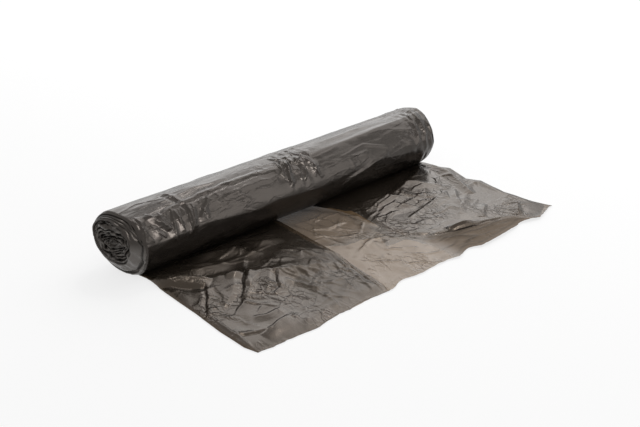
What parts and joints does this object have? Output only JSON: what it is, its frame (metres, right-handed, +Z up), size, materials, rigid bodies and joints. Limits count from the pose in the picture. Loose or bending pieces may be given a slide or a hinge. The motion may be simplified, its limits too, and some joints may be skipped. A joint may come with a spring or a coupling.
{
  "type": "bin bag roll",
  "caption": "Roll of flat, side-folded dark plastic bin bags with the first bag partly pulled off and lying flat.",
  "frame": {"origin": "on the surface that the roll and its loose end rest on, below the middle of the roll's axis", "axes": "+X along the roll's axis, away from the end whose inner turns stand out; +Y to the roll's back, so the loose end lies towards -Y; +Z up"},
  "size_m": [0.4316, 0.2214, 0.0656],
  "materials": {
    "film": "thin crinkled black polyethylene film, semi-gloss"
  },
  "bodies": {
    "root": {"bag_roll": "film"}
  },
  "joints": []
}
